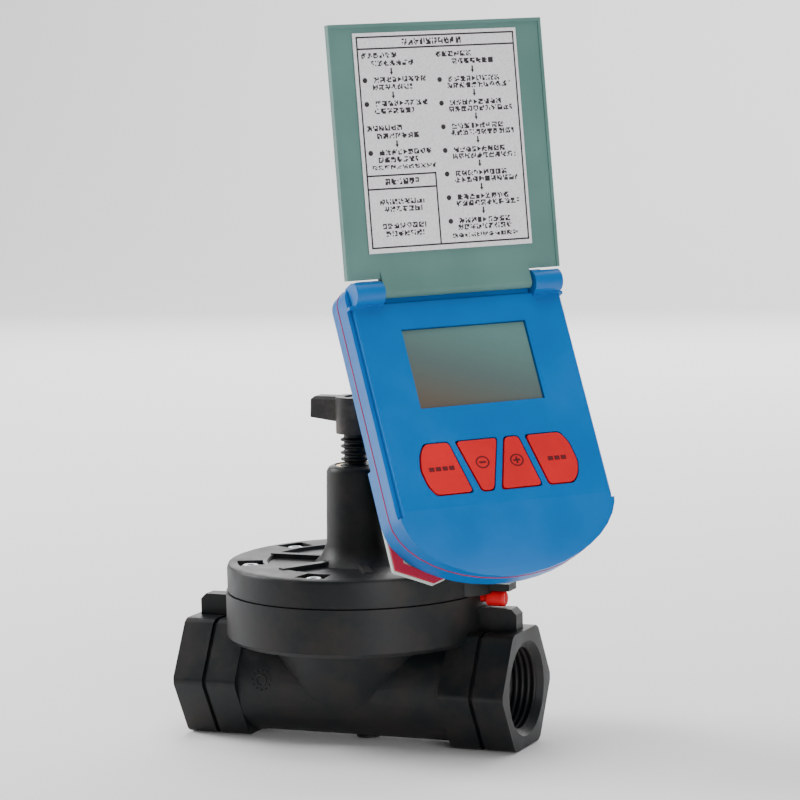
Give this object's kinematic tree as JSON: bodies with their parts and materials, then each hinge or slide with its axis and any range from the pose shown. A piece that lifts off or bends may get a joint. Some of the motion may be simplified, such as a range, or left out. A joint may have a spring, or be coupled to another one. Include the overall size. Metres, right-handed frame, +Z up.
{
  "type": "irrigation controller",
  "caption": "Battery irrigation timer head with a flip-up lid, on a latching solenoid and a one-inch globe diaphragm valve with a flow-control handle.",
  "frame": {"origin": "under the middle of the valve body, on the plane that its two hexagonal ports rest on, on the bonnet's axis", "axes": "+X along the flow towards the outlet port, +Z up along the bonnet's axis, -Y towards the side that the timer's face looks to"},
  "size_m": [0.1594, 0.103, 0.2573],
  "materials": {
    "black_nylon": "glass-filled nylon, moulded, satin",
    "blue_case": "blue ABS, moulded, semi-gloss",
    "red_rubber": "red silicone rubber",
    "red_seal": "dark red sealing strip",
    "grey_plate": "light grey moulded plastic",
    "lid_grey": "grey-green moulded plastic",
    "label_paper": "white printed label",
    "lcd_window": "clear window over a blank grey-green display",
    "steel": "zinc-plated and stainless steel",
    "brass": "turned brass",
    "black_rubber": "black nitrile rubber",
    "circuit_green": "green solder mask on glass-epoxy board",
    "battery_case": "plain dark grey painted steel"
  },
  "bodies": {
    "valve": {"adapter_screw_1": "steel", "adapter_screw_2": "steel", "battery": "battery_case", "battery_cover": "blue_case", "battery_snap": "black_rubber", "bonnet": "black_nylon", "bonnet_screw_1": "steel", "bonnet_screw_2": "steel", "bonnet_screw_3": "steel", "bonnet_screw_4": "steel", "bonnet_screw_5": "steel", "bonnet_screw_6": "steel", "case_screw_1": "steel", "case_screw_2": "steel", "case_screw_3": "steel", "case_screw_4": "steel", "circuit_board": "circuit_green", "diaphragm": "black_rubber", "diaphragm_spring": "steel", "front_shell": "blue_case", "hinge_pin": "steel", "keypad_membrane": "red_rubber", "lcd_lens": "lcd_window", "lcd_module": "lcd_window", "mount_adapter": "black_nylon", "mount_plate": "grey_plate", "plate_seal": "red_seal", "plunger_spring": "steel", "rear_shell": "blue_case", "seam_gasket": "red_seal", "solenoid_base": "black_nylon", "solenoid_case": "black_nylon", "stem_gland": "brass", "stem_o_ring": "black_rubber", "valve_body": "black_nylon"},
    "lid": {"lid": "lid_grey", "lid_label": "label_paper"},
    "key_mode": {"key_mode": "red_rubber"},
    "key_minus": {"key_minus": "red_rubber"},
    "key_plus": {"key_plus": "red_rubber"},
    "key_set": {"key_set": "red_rubber"},
    "flow_stem": {"flow_stem": "black_nylon"},
    "flow_handle": {"flow_handle": "black_nylon", "handle_screw": "steel"},
    "bleed_knob": {"bleed_knob": "red_rubber"},
    "diaphragm_disc": {"diaphragm_disc": "grey_plate"},
    "plunger": {"plunger": "steel"}
  },
  "joints": [
    {"name": "lid_hinge", "type": "hinge", "parent": "valve", "child": "lid", "pos_m": [0.04053, 0.00036, 0.16373], "axis": [0.6428, 0.766, 0], "range_deg": [0, 160]},
    {"name": "key_mode_press", "type": "slide", "parent": "valve", "child": "key_mode", "axis": [-0.6826, 0.5727, -0.454], "range_m": [0, 0.001], "stiffness_N_per_m": 300},
    {"name": "key_minus_press", "type": "slide", "parent": "valve", "child": "key_minus", "axis": [-0.6826, 0.5727, -0.454], "range_m": [0, 0.001], "stiffness_N_per_m": 300},
    {"name": "key_plus_press", "type": "slide", "parent": "valve", "child": "key_plus", "axis": [-0.6826, 0.5727, -0.454], "range_m": [0, 0.001], "stiffness_N_per_m": 300},
    {"name": "key_set_press", "type": "slide", "parent": "valve", "child": "key_set", "axis": [-0.6826, 0.5727, -0.454], "range_m": [0, 0.001], "stiffness_N_per_m": 300},
    {"name": "stem_lift", "type": "slide", "parent": "valve", "child": "flow_stem", "axis": [0, 0, 1], "range_m": [-0.0095, 0]},
    {"name": "handle_turn", "type": "hinge", "parent": "flow_stem", "child": "flow_handle", "pos_m": [0, 0, 0.12], "axis": [0, 0, 1], "range_deg": [-1440, 0]},
    {"name": "bleed_turn", "type": "hinge", "parent": "valve", "child": "bleed_knob", "pos_m": [0.05, 0, 0.053], "axis": [1, 0, 0], "range_deg": [0, 180]},
    {"name": "diaphragm_lift", "type": "slide", "parent": "valve", "child": "diaphragm_disc", "axis": [0, 0, 1], "range_m": [0, 0.0045], "stiffness_N_per_m": 400, "springref_m": -0.004, "deforming": ["diaphragm", "diaphragm_spring"]},
    {"name": "plunger_lift", "type": "slide", "parent": "valve", "child": "plunger", "axis": [0, 0, 1], "range_m": [0, 0.0018], "stiffness_N_per_m": 300, "springref_m": -0.004, "deforming": ["plunger_spring"]}
  ],
  "couplings": [
    {"joint": "stem_lift", "follows": "handle_turn", "m_per_rad": 0.000374}
  ]
}
